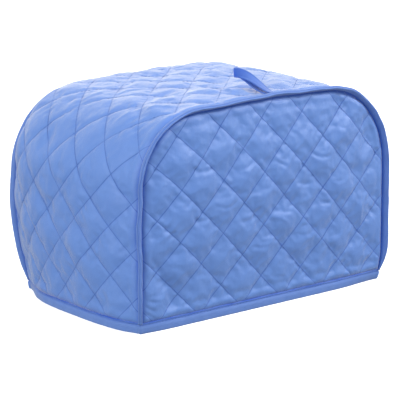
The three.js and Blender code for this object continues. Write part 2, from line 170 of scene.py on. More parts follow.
# Thread
THREAD = 0.00024
THREAD_SIDES = 6
THREAD_PROFILE = [(0.0, 0.25), (0.12, 0.8), (0.5, 1.0), (0.88, 0.8), (1.0, 0.25)]
THREAD_SINK = 0.00012
QUILTING_LIFT = 0.0001
TAPE_LIFT = 0.00008
STITCH_LENGTH = 0.0027
STITCH_GAP = 0.0008
RIDGE_STITCH = (0.0020, 0.00095)
RIDGE_STITCH_START = 0.012
HEM_STITCH = (0.0013, 0.0081)

# Sections of the folded tapes: places across the tape, and the half-thickness there
RIDGE_RINGS = 430
# How far out from its root the ridge's painted shade reaches
RIDGE_PAINTED_SHADE_END = 0.0034
RIDGE_PROFILE = [
    (-0.0012, 0.0013), (0.0004, 0.0016), (0.0014, 0.0015), (0.0020, 0.00095),
    (0.0026, 0.0015), (0.0038, 0.0019), (0.0052, 0.0019), (0.0064, 0.0018),
    (0.0072, 0.0014), (0.0074, 0.0009), (0.0072, 0.0004), (0.0069, 0.0001),
]
HEM_PROFILE = [
    (0.0, 0.0016), (0.00035, 0.0021), (0.0012, 0.00225), (0.0040, 0.0022), (0.0066, 0.0021),
    (0.0077, 0.0014), (0.0082, 0.0013), (0.0088, 0.0017), (0.0096, 0.0017), (0.0101, 0.0011),
]
LOOP_PROFILE = [
    (0.0, 0.00035), (0.0004, 0.00068), (0.0011, 0.00070), (0.0016, 0.00045), (0.0021, 0.00062),
    (0.0033, 0.00078), (0.0045, 0.00082), (0.0057, 0.00078), (0.0069, 0.00062),
    (0.0074, 0.00045), (0.0079, 0.00070), (0.0086, 0.00068), (0.0090, 0.00035),
]

# Lights: name, place, aim, size, power, and whether it only adds gloss
LIGHTS = [
    ("overhead", (0.0, 1.0, 5.0), (0, 1.0, 0), (9, 9), 46, False),
    ("key", (1.9, -1.5, 1.9), (0, 0, 0.1), (0.7, 0.7), 54, False),
    ("gleam", (2.6, -1.7, 0.9), (0, 0, 0.1), (1.1, 1.1), 9, True),
    ("fill", (-2.4, -0.6, 1.0), (0, 0, 0.1), (1.4, 1.4), 27, False),
    ("backdrop", (1.4, 3.0, 0.9), (0, 0, 0.15), (4.0, 1.6), 36, False),
]
SKY_LOW = 0.34
SKY_HIGH = 0.84

# The photograph's view: place, yaw, pitch and roll in degrees, and focal length
CAMERA_PLACE = (-0.8833, -1.1394, 0.3915)
CAMERA_TURN = (37.79, 12.09, -0.696)
FOCAL_LENGTH = 138.35
FLOOR_HALF = 9

# Weaves: thread spacing and how much closer the cross threads lie
CLOTH_WEAVE = (0.0005, 1.1)
TAPE_WEAVE = (0.00055, 0.8)
BUMP_DEPTH = 0.0002
# Width of the painted shade along the stitch lines, and its strength over the top of the band
LINE_SHADE_WIDTH = 0.022
LINE_SHADE_ON_TOP = 0.45

# Colours, dark and light where they vary
CLOTH_COLOURS = (0.098, 0.232, 0.640, 1), (0.128, 0.276, 0.700, 1)
TAPE_COLOURS = (0.100, 0.205, 0.560, 1), (0.140, 0.262, 0.640, 1)
THREAD_COLOURS = (0.062, 0.155, 0.50, 1), (0.095, 0.215, 0.60, 1)
# Painted shade along the stitch lines
LINE_PAINTED_SHADE_COLOUR = (0.032, 0.118, 0.50, 1)
# Colour that the painted shade darkens towards, beside the bindings, under the ridges and on the loop
PAINTED_SHADE_COLOUR = (0.012, 0.095, 0.560, 1)

# Quilting: half-diagonals of the squares and one crossing, across and up each cloth
PANEL_QUILT = {"across": 0.0238, "up": 0.0236, "crossing": (-0.0574, 0.1716)}
BAND_QUILT = {"across": 0.0227, "up": 0.0227, "crossing": (0.1631, 0.0445)}

# Lower corners that sag inwards: side, front or back, draw, height, spread, fall
CORNERS = [
    (-1, -1, 0.0022, 0.030, 0.011, 1.6),
    (1, -1, 0.0044, 0.032, 0.026, 2.0),
    (-1, 1, 0.0090, 0.095, 0.028, 1.3),
    (1, 1, 0.0070, 0.060, 0.026, 1.5),
]

# Soft creases: middle across, middle up, turn in degrees, half-length, half-width, height
FRONT_CREASES = [
    (-0.118, 0.038, -62, 0.026, 0.007, -0.0016),
    (-0.096, 0.062, -55, 0.024, 0.008, 0.0012),
    (0.112, 0.128, 62, 0.030, 0.009, -0.0018),
    (0.088, 0.150, 40, 0.028, 0.009, 0.0014),
    (0.020, 0.096, 12, 0.042, 0.012, -0.0013),
    (0.062, 0.052, -28, 0.038, 0.011, 0.0015),
    (-0.040, 0.140, 20, 0.034, 0.010, -0.0012),
]
BACK_CREASES = [
    (-0.070, 0.120, -35, 0.034, 0.010, -0.0015),
    (0.054, 0.084, 24, 0.040, 0.012, 0.0016),
    (0.008, 0.044, -8, 0.044, 0.011, -0.0013),
    (0.104, 0.140, 52, 0.026, 0.009, 0.0013),
    (-0.112, 0.052, 68, 0.028, 0.008, 0.0012),
]
BAND_CREASES = [
    (0.096, 0.008, 76, 0.046, 0.012, -0.0018),
    (0.058, -0.028, 24, 0.030, 0.010, 0.0015),
    (0.152, 0.030, -66, 0.034, 0.009, -0.0015),
    (0.206, -0.062, 74, 0.026, 0.007, 0.0019),
    (0.236, -0.034, 20, 0.034, 0.009, -0.0018),
    (0.282, -0.058, -28, 0.028, 0.008, 0.0022),
    (0.318, -0.016, 52, 0.040, 0.011, -0.0022),
    (0.352, -0.066, 66, 0.024, 0.007, 0.0020),
    (0.378, 0.018, -38, 0.038, 0.010, 0.0016),
    (0.300, 0.052, 12, 0.044, 0.012, -0.0016),
    (0.452, -0.010, 62, 0.036, 0.010, -0.0016),
    (0.520, 0.034, -24, 0.034, 0.010, 0.0016),
    (0.566, -0.030, 70, 0.032, 0.009, -0.0015),
]

# Wrinkles: from across, from up, to across, to up, bend, half-width, height
FRONT_WRINKLES = [
    (-0.0805, 0.1845, -0.0599, 0.1768, -0.0009, 0.0024, -0.001),
    (-0.0943, 0.1437, -0.0698, 0.1374, -0.0043, 0.0023, -0.0017),
    (-0.0416, 0.1305, -0.0251, 0.1338, -0.0009, 0.002, -0.0011),
    (-0.0343, 0.1709, -0.0271, 0.1672, -0.0004, 0.0016, -0.0008),
    (-0.0072, 0.1535, -0.0018, 0.1445, 0.0005, 0.002, 0.001),
    (-0.0154, 0.1357, -0.0105, 0.1279, 0, 0.0016, 0.0009),
    (0.0001, 0.1326, 0.0139, 0.1264, 0.0004, 0.0019, -0.0011),
    (0.0475, 0.1338, 0.0689, 0.1297, -0.0027, 0.0019, -0.0017),
    (0.0283, 0.1094, 0.0484, 0.1065, -0.0014, 0.0019, -0.0012),
    (0.0725, 0.156, 0.0889, 0.1513, 0.0004, 0.0019, -0.001),
    (0.0743, 0.1048, 0.0866, 0.1057, -0.0004, 0.0016, -0.0009),
    (0.0576, 0.0879, 0.0698, 0.0863, -0.0007, 0.0017, -0.0011),
    (0.0066, 0.1296, 0.0149, 0.127, 0, 0.0016, -0.0008),
    (0.1089, 0.0885, 0.1111, 0.0734, 0, 0.0022, 0.001),
    (0.0071, 0.0857, 0.0229, 0.0843, -0.0005, 0.0017, -0.0009),
    (-0.0906, 0.0955, -0.0783, 0.0925, -0.0009, 0.0019, -0.0012),
    (-0.0664, 0.1034, -0.0437, 0.1024, -0.0027, 0.002, -0.0011),
    (-0.0369, 0.0842, -0.0214, 0.0853, -0.0006, 0.002, -0.0011),
    (-0.1181, 0.1183, -0.1003, 0.1121, -0.0008, 0.0024, -0.0008),
    (-0.1388, 0.0954, -0.1314, 0.0989, -0.0004, 0.002, -0.0009),
    (-0.1164, 0.0576, -0.1022, 0.0525, -0.0004, 0.0022, -0.0007),
    (-0.1427, 0.0267, -0.1315, 0.0192, -0.0004, 0.0016, -0.0015),
    (-0.1421, 0.0204, -0.1282, 0.0113, -0.0002, 0.0014, -0.0012),
    (-0.1417, 0.0313, -0.1264, 0.0266, -0.0007, 0.0018, -0.0012),
    (0.0031, 0.0873, 0.0206, 0.0843, 0.0009, 0.0017, -0.001),
    (-0.0016, 0.0821, 0.0165, 0.0753, 0.0021, 0.0018, 0.0012),
    (0.0602, 0.0888, 0.0701, 0.0848, 0, 0.0017, -0.001),
    (-0.0223, 0.0583, -0.005, 0.0563, -0.0005, 0.0018, -0.0009),
    (-0.0114, 0.0662, -0.0012, 0.0671, -0.0005, 0.0016, -0.0009),
    (0.0304, 0.0622, 0.0483, 0.0595, -0.0005, 0.0019, -0.0009),
    (0.0346, 0.0683, 0.0428, 0.0684, 0.0009, 0.0015, -0.0008),
    (0.0018, 0.0275, 0.0192, 0.025, -0.0005, 0.0018, -0.0008),
    (0.0258, 0.031, 0.0288, 0.0205, 0, 0.0017, 0.0007),
    (0.1105, 0.0741, 0.1131, 0.0573, 0, 0.0022, 0.001),
    (0.1126, 0.0482, 0.1237, 0.0389, 0.0004, 0.002, 0.0011),
    (-0.0281, 0.1076, -0.0179, 0.1077, -0.0004, 0.0016, -0.0008),
    (-0.0574, 0.1198, -0.0435, 0.12, -0.0005, 0.0018, -0.0007),
    (-0.1278, 0.138, -0.1145, 0.132, -0.0009, 0.0022, -0.0007),
    (0.0713, 0.0544, 0.0866, 0.0559, -0.0005, 0.0019, -0.0007),
    (-0.0525, 0.0587, -0.0362, 0.0586, -0.0007, 0.0019, -0.0006),
]
BACK_WRINKLES = [
    (-0.098, 0.148, -0.076, 0.15, -0.0028, 0.002, -0.0014),
    (-0.052, 0.13, -0.033, 0.125, -0.0016, 0.0019, -0.0011),
    (-0.013, 0.164, 0.006, 0.16, -0.002, 0.0021, -0.0013),
    (0.027, 0.138, 0.046, 0.143, -0.0024, 0.002, -0.0015),
    (0.076, 0.156, 0.092, 0.149, -0.001, 0.0018, -0.001),
    (0.094, 0.108, 0.113, 0.11, -0.0022, 0.0021, -0.0013),
    (0.05, 0.093, 0.065, 0.09, -0.001, 0.0018, -0.001),
    (-0.006, 0.1, 0.013, 0.103, -0.0018, 0.002, -0.0012),
    (-0.062, 0.088, -0.045, 0.085, -0.0012, 0.0019, -0.001),
    (-0.119, 0.106, -0.101, 0.109, -0.0014, 0.002, -0.0011),
    (-0.133, 0.026, -0.121, 0.019, -0.0005, 0.0016, -0.0013),
    (-0.135, 0.034, -0.12, 0.031, -0.0008, 0.0018, -0.0011),
    (0.127, 0.024, 0.137, 0.031, -0.0005, 0.0016, -0.0013),
    (0.022, 0.056, 0.04, 0.053, -0.0014, 0.002, -0.0009),
    (-0.036, 0.048, -0.018, 0.052, -0.0016, 0.002, -0.0009),
]
BAND_WRINKLES = [
    (0.1993, 0.0208, 0.2308, 0.0253, -0.004, 0.0028, -0.0015),
    (0.2636, 0.0731, 0.2263, 0.0137, 0, 0.0018, -0.0013),
    (0.2316, 0.0187, 0.2982, 0.0657, 0.001, 0.0026, -0.0013),
    (0.2137, 0.0005, 0.2441, -0.0078, 0.0049, 0.0026, -0.0014),
    (0.2211, -0.0388, 0.2536, -0.0399, -0.0002, 0.0026, -0.0015),
    (0.2082, -0.0571, 0.2314, -0.0687, -0.0026, 0.0024, -0.0013),
    (0.2006, -0.0616, 0.2165, -0.0747, 0.0011, 0.0024, 0.0011),
    (0.1881, 0.0417, 0.1988, 0.0334, 0.0016, 0.0024, -0.0012),
    (0.1812, -0.0427, 0.1933, -0.0475, -0.0005, 0.0022, 0.0009),
    (0.1813, -0.0578, 0.1947, -0.0608, -0.0006, 0.0022, -0.0009),
    (0.3048, -0.0087, 0.3177, -0.0369, -0.0002, 0.0024, -0.0015),
    (0.2898, -0.0228, 0.2868, -0.0672, -0.0045, 0.0024, -0.0017),
    (0.2977, -0.0443, 0.289, -0.0708, -0.0009, 0.002, 0.0013),
    (0.3079, -0.0561, 0.3042, -0.0807, -0.0002, 0.0026, -0.0019),
    (0.2313, -0.055, 0.2487, -0.052, -0.0001, 0.0022, 0.001),
    (0.337, -0.0612, 0.3247, -0.0862, 0.0011, 0.002, 0.0013),
    (0.3544, -0.0145, 0.3581, -0.0411, -0.0001, 0.0024, -0.0012),
    (0.3172, 0.0266, 0.3422, 0.0211, -0.0002, 0.0028, -0.001),
    (0.2714, 0.0134, 0.3023, 0.0104, -0.0003, 0.003, -0.0011),
    (0.3779, -0.0395, 0.3821, -0.0674, -0.0004, 0.0024, -0.001),
    (0.132, -0.0644, 0.1249, -0.0893, 0.0004, 0.0019, -0.0012),
    (0.1365, -0.068, 0.1305, -0.0876, 0.0004, 0.0017, -0.0009),
    (0.1012, -0.0817, 0.0958, -0.0942, -0.0003, 0.0018, -0.0011),
    (0.0954, 0.0631, 0.0766, 0.0432, 0.0005, 0.0026, 0.0012),
    (0.0746, 0.0434, 0.0628, 0.0281, 0.0003, 0.0024, 0.0012),
    (0.0654, 0.101, 0.0485, 0.065, 0.0017, 0.0026, 0.0011),
    (0.1068, -0.036, 0.1043, -0.0483, 0.0001, 0.0019, -0.0007),
    (0.012, 0.0344, 0.0084, 0.0027, 0.0002, 0.002, -0.0008),
    (0.412, 0.03, 0.431, 0.012, -0.001, 0.0024, -0.0013),
    (0.428, -0.048, 0.445, -0.062, 0.0008, 0.0022, -0.0011),
    (0.472, 0.048, 0.49, 0.038, -0.0012, 0.002, -0.0011),
    (0.506, -0.02, 0.521, -0.036, 0.001, 0.002, 0.001),
    (0.548, 0.062, 0.57, 0.074, 0.0006, 0.0019, -0.0011),
    (0.356, 0.056, 0.389, 0.062, -0.0008, 0.0026, -0.0014),
    (0.312, 0.072, 0.342, 0.066, 0.001, 0.0026, -0.0013),
]

LEFT_ARC = LEFT_RADIUS * math.pi / 2
RIGHT_ARC = RIGHT_RADIUS * math.pi / 2
LEFT_RISE = SEAM_HEIGHT - LEFT_RADIUS
RIGHT_RISE = SEAM_HEIGHT - RIGHT_RADIUS
TOP_RUN = SEAM_WIDTH - LEFT_RADIUS - RIGHT_RADIUS
ARCH_LENGTH = LEFT_RISE + LEFT_ARC + TOP_RUN + RIGHT_ARC + RIGHT_RISE


def smooth(share):
    share = np.clip(share, 0, 1)
    return share * share * (3 - 2 * share)


def arch(along):
    """Points and outward normals along the arch, from the left foot to the right."""
    along = np.asarray(along, float)
    left_turn = np.clip((along - LEFT_RISE) / LEFT_RADIUS, 0, math.pi / 2)
    right_start = LEFT_RISE + LEFT_ARC + TOP_RUN
    right_turn = np.clip((along - right_start) / RIGHT_RADIUS, 0, math.pi / 2)
    on_left = along < LEFT_RISE + LEFT_ARC + TOP_RUN / 2
    half = SEAM_WIDTH / 2
    past_left = np.clip(along - LEFT_RISE - LEFT_ARC, 0, None)
    before_right = np.clip(right_start - along, 0, None)
    x = np.where(
        on_left,
        -half + LEFT_RADIUS * (1 - np.cos(left_turn)) + past_left,
        half - RIGHT_RADIUS * (1 - np.sin(right_turn)) - before_right,
    )
    z_left = np.minimum(along, LEFT_RISE) + LEFT_RADIUS * np.sin(left_turn)
    z_right = np.minimum(ARCH_LENGTH - along, RIGHT_RISE) + RIGHT_RADIUS * np.cos(right_turn)
    z = np.where(on_left, z_left, z_right)
    nx = np.where(on_left, -np.cos(left_turn), np.sin(right_turn))
    nz = np.where(on_left, np.sin(left_turn), np.cos(right_turn))
    return x, z, nx, nz


def settle(x, y, z):
    """The sag that every piece shares, so that pieces which meet stay together."""
    x, y, z = (np.array(v, float) for v in np.broadcast_arrays(x, y, z))
    for side, end, draw, height, spread, fall in CORNERS:
        dx = x - side * SEAM_WIDTH / 2
        dy = y - end * SEAM_DEPTH / 2
        near = np.exp(-(dx * dx + dy * dy) / (2 * spread * spread))
        low = np.clip(1 - z / height, 0, 1) ** fall
        x = x - side * draw * near * low
        y = y - end * draw * near * low
    sideways = 2 * x / SEAM_WIDTH
    high = smooth(z / SEAM_HEIGHT)
    off_centre = sideways - 2 * CROWN_CENTRE / SEAM_WIDTH
    back = np.clip((y - BACK_ROLL_START) / (BACK_ROLL_END - BACK_ROLL_START), 0, 1)
    rolled = BACK_ROLL * back**2 * smooth((z - BACK_ROLL_FOOT) / (SEAM_HEIGHT - BACK_ROLL_FOOT))
    backward = y / SEAM_DEPTH + 0.5
    front_left = np.clip(-sideways, 0, 1) * np.clip(1 - backward, 0, 1)
    waist = FRONT_LEFT_WAIST * np.exp(-(((z - WAIST_HEIGHT) / WAIST_REACH) ** 2))
    draw = FRONT_LEFT_DRAW * smooth(z / DRAW_FADE) + waist
    rise = (TOP_RISE + TOP_TWIST * sideways) * backward - FRONT_LEFT_DROP * front_left
    x = x + draw * front_left - rolled * sideways
    z = z + high * (CROWN - CROWN_FALL * off_centre**2 + rise) - rolled
    return np.stack([x, y, z], -1)


def on_band(along, across, lift):
    x, z, nx, nz = arch(along)
    up = np.clip(nz, 0, 1)
    hem = HEM_BOW_SHARE + (1 - HEM_BOW_SHARE) * smooth(z / HEM_BOW_FADE)
    off = np.clip(np.abs(across) / BAND_HALF, 0, 1)
    side_bow = SIDE_BOW * hem * (1 - up) * (1 - off**SIDE_FULLNESS)
    out = side_bow + TOP_BOW * up * (1 - off**TOP_FULLNESS) + lift
    return settle(x + nx * out, across, z + nz * out)


def on_panel(end, across, up, lift):
    left_centre = -SEAM_WIDTH / 2 + LEFT_RADIUS
    right_centre = SEAM_WIDTH / 2 - RIGHT_RADIUS
    share = smooth((across - left_centre) / TOP_RUN)
    radius = LEFT_RADIUS + (RIGHT_RADIUS - LEFT_RADIUS) * share
    beyond = np.maximum(np.maximum(left_centre - across, across - right_centre), 0)
    above = np.maximum(up - SEAM_HEIGHT + radius, 0)
    near_seam = np.clip(np.hypot(beyond, above) / radius, 0, 1)
    bow = PANEL_BOW * (1 - near_seam**2) * smooth(up / PANEL_BOW_FADE)
    return settle(across, end * (SEAM_DEPTH / 2 + bow + lift), up)


def on_front(across, up, lift):
    return on_panel(-1, across, up, lift)


def on_back(across, up, lift):
    return on_panel(1, across, up, lift)


def quilt_places(quilt, a, b):
    """Places counted in squares along the two directions of stitching."""
    right = (a - quilt["crossing"][0]) / quilt["across"]
    up = (b - quilt["crossing"][1]) / quilt["up"]
    return (right + up) / 2, (right - up) / 2


def flat_places(quilt, p, q):
    a = quilt["crossing"][0] + (p + q) * quilt["across"]
    b = quilt["crossing"][1] + (p - q) * quilt["up"]
    return a, b


def chance(a, b, salt):
    wave = np.sin(a * 12.9898 + b * 78.233 + salt * 37.719) * 43758.5453
    return wave - np.floor(wave)


def padding(quilt, a, b):
    """Height of the padding: 0 on a stitch line and about 1 in the middle of a square."""
    p, q = quilt_places(quilt, a, b)
    column, row = np.floor(p), np.floor(q)
    p_side = np.abs(2 * (p - column) - 1)
    q_side = np.abs(2 * (q - row) - 1)
    dome = (1 - p_side**PILLOW_SHARPNESS) * (1 - q_side**PILLOW_SHARPNESS)
    return dome * (PILLOW_LEAST + PILLOW_SPREAD * chance(column, row, 0))


def creased(creases, a, b):
    height = np.zeros_like(a)
    for mid_a, mid_b, turn, length, width, rise in creases:
        c, s = math.cos(math.radians(turn)), math.sin(math.radians(turn))
        along = ((a - mid_a) * c + (b - mid_b) * s) / length
        across = ((b - mid_b) * c - (a - mid_a) * s) / width
        height = height + rise * np.exp(-along * along - across * across)
    return height


def wrinkled(wrinkles, a, b):
    """Short soft troughs and ridges that run between two places on a bowed line."""
    height = np.zeros_like(a)
    for from_a, from_b, to_a, to_b, bend, width, rise in wrinkles:
        run_a, run_b = to_a - from_a, to_b - from_b
        length = math.hypot(run_a, run_b)
        off_a, off_b = a - (from_a + to_a) / 2, b - (from_b + to_b) / 2
        along = 2 * (off_a * run_a + off_b * run_b) / length**2
        across = (off_b * run_a - off_a * run_b) / length - bend * (1 - along * along)
        height = height + rise * np.exp(-((across / width) ** 2) - (along / 1.1) ** 4)
    return WRINKLE_DEPTH * height


def soft_noise(x, salt):
    """Smooth repeatable noise from -1 to 1 along one direction."""
    cell = np.floor(x)
    share = smooth(x - cell)
    low = chance(cell, salt, 1)
    high = chance(cell + 1, salt, 1)
    return 2 * (low + (high - low) * share) - 1


def inside_distance(outline, a, b):
    """How far inside a convex outline each place lies."""
    nearest = np.full(np.shape(a), np.inf)
    for (ax, ay), (bx, by) in zip(outline, outline[1:] + outline[:1]):
        length = math.hypot(bx - ax, by - ay)
        inside = ((bx - ax) * (b - ay) - (by - ay) * (a - ax)) / length
        nearest = np.minimum(nearest, inside)
    return nearest


def panel_outline(inset, foot, steps=12):
    marks = [foot]
    marks += [LEFT_RISE + LEFT_ARC * k / steps for k in range(steps + 1)]
    marks += [LEFT_RISE + LEFT_ARC + TOP_RUN + RIGHT_ARC * k / steps for k in range(steps + 1)]
    marks += [ARCH_LENGTH - foot]
    x, z, nx, nz = arch(marks)
    return list(zip(x - nx * inset, z - nz * inset))[::-1]


def band_outline(inset, foot):
    half = SEAM_DEPTH / 2 - inset
    return [(foot, -half), (ARCH_LENGTH - foot, -half), (ARCH_LENGTH - foot, half), (foot, half)]


def flat_cloth(outline, quilt, cells):
    """A flat grid whose lines follow the stitching, cut to a convex outline."""
    corners = np.array(outline)
    low, high = corners.min(axis=0), corners.max(axis=0)
    box = np.array([quilt_places(quilt, a, b) for a in (low[0], high[0]) for b in (low[1], high[1])])
    (p_low, q_low), (p_high, q_high) = np.floor(box.min(axis=0)), np.ceil(box.max(axis=0))
    ps = np.arange((p_high - p_low) * cells + 1) / cells + p_low
    qs = np.arange((q_high - q_low) * cells + 1) / cells + q_low
    grid_p, grid_q = np.meshgrid(ps, qs, indexing="ij")
    a, b = flat_places(quilt, grid_p.ravel(), grid_q.ravel())
    index = np.arange(a.size).reshape(grid_p.shape)
    round_square = (index[:-1, :-1], index[:-1, 1:], index[1:, 1:], index[1:, :-1])
    quads = np.stack([part.ravel() for part in round_square], 1)
    margin, join = 0.004, 0.0005
    reach = inside_distance(outline, a, b)
    quads = quads[(reach[quads] > -margin).any(axis=1)]
    used, quads = np.unique(quads, return_inverse=True)
    quads = quads.reshape(-1, 4)
    mesh = bpy.data.meshes.new("flat")
    mesh.from_pydata(np.stack([a[used], b[used], 0 * a[used]], 1).tolist(), [], quads.tolist())
    cloth = bmesh.new()
    cloth.from_mesh(mesh)
    bpy.data.meshes.remove(mesh)
    for (ax, ay), (bx, by) in zip(outline, outline[1:] + outline[:1]):
        bmesh.ops.bisect_plane(
            cloth,
            geom=cloth.verts[:] + cloth.edges[:] + cloth.faces[:],
            plane_co=(ax, ay, 0),
            plane_no=(by - ay, ax - bx, 0),
            clear_outer=True,
        )
    bmesh.ops.remove_doubles(cloth, verts=cloth.verts[:], dist=join)
    bmesh.ops.recalc_face_normals(cloth, faces=cloth.faces[:])
    if sum(face.normal.z for face in cloth.faces) < 0:
        bmesh.ops.reverse_faces(cloth, faces=cloth.faces[:])
    return cloth


def object_from(name, points, faces, material):
    mesh = bpy.data.meshes.new(name)
    mesh.from_pydata(np.asarray(points).tolist(), [], faces)
    mesh.update()
    mesh.materials.append(material)
    mesh.shade_smooth()
    piece = bpy.data.objects.new(name, mesh)
    bpy.context.scene.collection.objects.link(piece)
    return piece


def read_values(items, key, size, kind=float):
    """One value of each item of a mesh, in rows of the given size."""
    values = np.empty(len(items) * size, kind)
    items.foreach_get(key, values)
    return values.reshape(-1, size)


def coordinates(mesh):
    return read_values(mesh.vertices, "co", 3)


def corner_points(mesh):
    """The number of the point at each face corner."""
    return read_values(mesh.loops, "vertex_index", 1, int)[:, 0]


def write_flat_map(mesh, flat):
    """Stores each point's place on the flat cloth or tape."""
    layer = mesh.uv_layers.new(name="flat")
    layer.data.foreach_set("uv", flat[corner_points(mesh)].ravel())


def write_painted_shade(mesh, shade):
    """Stores how much painted shade darkens each point, from 0 to 1."""
    layer = mesh.attributes.new("painted_seam_shade", "FLOAT", "POINT")
    layer.data.foreach_set("value", shade)


def puffed(piece, held):
    """Puffs the cloth between its stitch lines: held points stay, the rest move a little."""
    start = coordinates(piece.data)
    group = piece.vertex_groups.new(name="held")
    group.add([int(k) for k in np.nonzero(held)[0]], 1.0, "REPLACE")
    cloth = piece.modifiers.new("Cloth", "CLOTH")
    for key, value in CLOTH_SETTINGS.items():
        setattr(cloth.settings, key, value)
    cloth.settings.vertex_group_mass = "held"
    cloth.settings.effector_weights.gravity = 0
    cloth.collision_settings.use_collision = False
    cloth.point_cache.frame_start = 1
    cloth.point_cache.frame_end = PUFF_STEPS
    scene = bpy.context.scene
    for step in range(1, PUFF_STEPS + 1):
        scene.frame_set(step)
    moved = piece.evaluated_get(bpy.context.evaluated_depsgraph_get())
    change = coordinates(moved.data) - start
    piece.modifiers.clear()
    piece.vertex_groups.clear()
    scene.frame_set(1)
    length = np.linalg.norm(change, axis=1, keepdims=True)
    change *= np.minimum(1, PUFF_LIMIT / np.maximum(length, 1e-9))
    return start + change


def edge_puff(inside):
    """The rolled edge of a cloth beside its binding."""
    return EDGE_PUFF * np.sin(np.pi * np.clip(inside / EDGE_PUFF_WIDTH, 0, 1) ** 0.6) ** 2


def crescents(quilt, a, b):
    """Up to three short curved wrinkles in each square, mostly above its middle."""
    p, q = quilt_places(quilt, a, b)
    column, row = np.floor(p), np.floor(q)
    across = ((p - column) + (q - row) - 1) * quilt["across"]
    up = ((p - column) - (q - row)) * quilt["up"]
    height = np.zeros_like(a)
    for salt, share in CRESCENTS:
        shown = chance(column, row, salt) < share
        middle_x = 0.010 * (chance(column, row, salt + 1) - 0.5)
        middle_y = 0.006 + 0.020 * (chance(column, row, salt + 2) - 0.5)
        tilt = 0.9 * (chance(column, row, salt + 3) - 0.5)
        bend = 14 + 22 * chance(column, row, salt + 4)
        length = 0.005 + 0.006 * chance(column, row, salt + 5)
        width = 0.0014 + 0.0012 * chance(column, row, salt + 6)
        depth = 0.0007 + 0.0011 * chance(column, row, salt + 7)
        u = across - middle_x
        v = up - middle_y - tilt * u - bend * u * u
        height = height - shown * depth * np.exp(-((v / width) ** 2) - (u / length) ** 2)
    return CRESCENT_DEPTH * height


def puckers(quilt, a, b):
    """Fine gathers that the stitching pulls up, dying out a few millimetres from it."""
    p, q = quilt_places(quilt, a, b)
    height = np.zeros_like(a)
    square = math.hypot(quilt["across"], quilt["up"])
    for here, along in ((p, q), (q, p)):
        line = np.round(here)
        off = np.abs(here - line) * square
        wave = soft_noise(along * PUCKERS_IN_SQUARE + 0.37 * line, line)
        wave = wave + 0.5 * soft_noise(along * FINE_PUCKERS_IN_SQUARE, line + 40)
        start = np.minimum(off / PUCKER_START, 1)
        height = height + PUCKER_HEIGHT * wave * np.exp(-off / PUCKER_REACH) * start
    return height


def on_top(a):
    """1 over the top of the band and 0 down its sides."""
    return smooth((a - TOP_START) / TOP_FADE) * smooth((TOP_END - a) / TOP_FADE)


def panel_painted_shade(a, b, inside):
    """Painted shade beside the bindings: widest under the ridge along the top."""
    above = smooth((b - ABOVE_START) / ABOVE_FADE)
    wander = 1 + PAINTED_SHADE_WANDER * soft_noise(a / 0.009, 51)
    return (0.72 + 0.10 * above) * np.exp(-inside / (wander * (PAINTED_SHADE_REACH + PAINTED_SHADE_MORE_ABOVE * above)))


def band_painted_shade(a, b, inside):
    """The same painted shade on the band: darkest down the sides."""
    wander = 1 + PAINTED_SHADE_WANDER * soft_noise((a + b) / 0.011, 53)
    return (0.80 - 0.55 * on_top(a)) * np.exp(-inside / (wander * BAND_PAINTED_SHADE_REACH))


def panel_fullness(a):
    return np.full_like(a, PANEL_PUFF)


def band_fullness(a):
    """The band lies flatter over the top, where it is pulled tight."""
    return SIDE_PUFF + (TOP_PUFF - SIDE_PUFF) * on_top(a)


def quilted_piece(name, spec):
    """A quilted cloth with a padded face outside and a flatter one inside."""
    outline, quilt = spec["outline"], spec["quilt"]
    cloth = flat_cloth(outline, quilt, spec["cells"])
    flat = np.array([v.co[:2] for v in cloth.verts])
    a, b = flat[:, 0], flat[:, 1]
    p, q = quilt_places(quilt, a, b)
    on_line = (np.abs(p - np.round(p)) < STITCH_LINE) | (np.abs(q - np.round(q)) < STITCH_LINE)
    inside = inside_distance(outline, a, b)
    edge = smooth(inside / EDGE_FADE)
    filled = spec["fullness"](a) * padding(quilt, a, b)
    lift = CLOTH / 2 + edge * (filled + creased(spec["creases"], a, b))
    faces = [[v.index for v in face.verts] for face in cloth.faces]
    if spec["mirrored"]:
        faces = [face[::-1] for face in faces]
    edges = [tuple(sorted((e.verts[0].index, e.verts[1].index))) for e in cloth.edges]
    sewn = {pair for pair in edges if on_line[pair[0]] and on_line[pair[1]]}
    cloth.free()
    piece = object_from(name, spec["place"](a, b, lift), faces, spec["finish"])
    points = puffed(piece, on_line | (inside < HELD_EDGE))
    piece.data.vertices.foreach_set("co", points.ravel())
    write_flat_map(piece.data, flat)
    crease = piece.data.attributes.new("crease_edge", "FLOAT", "EDGE")
    ends = read_values(piece.data.edges, "vertices", 2, int)
    pairs = [tuple(sorted(pair)) for pair in ends.tolist()]
    marks = [STITCH_CREASE if pair in sewn else 0.0 for pair in pairs]
    crease.data.foreach_set("value", marks)
    finer = piece.modifiers.new("Subdivision", "SUBSURF")
    finer.levels = finer.render_levels = 1
    finer.uv_smooth = "NONE"
    result = bpy.data.meshes.new_from_object(
        piece.evaluated_get(bpy.context.evaluated_depsgraph_get())
    )
    piece.modifiers.clear()
    old = piece.data
    piece.data = thickened(result, name, spec)
    piece.data.materials.clear()
    piece.data.materials.append(spec["finish"])
    bpy.data.meshes.remove(old)
    return piece


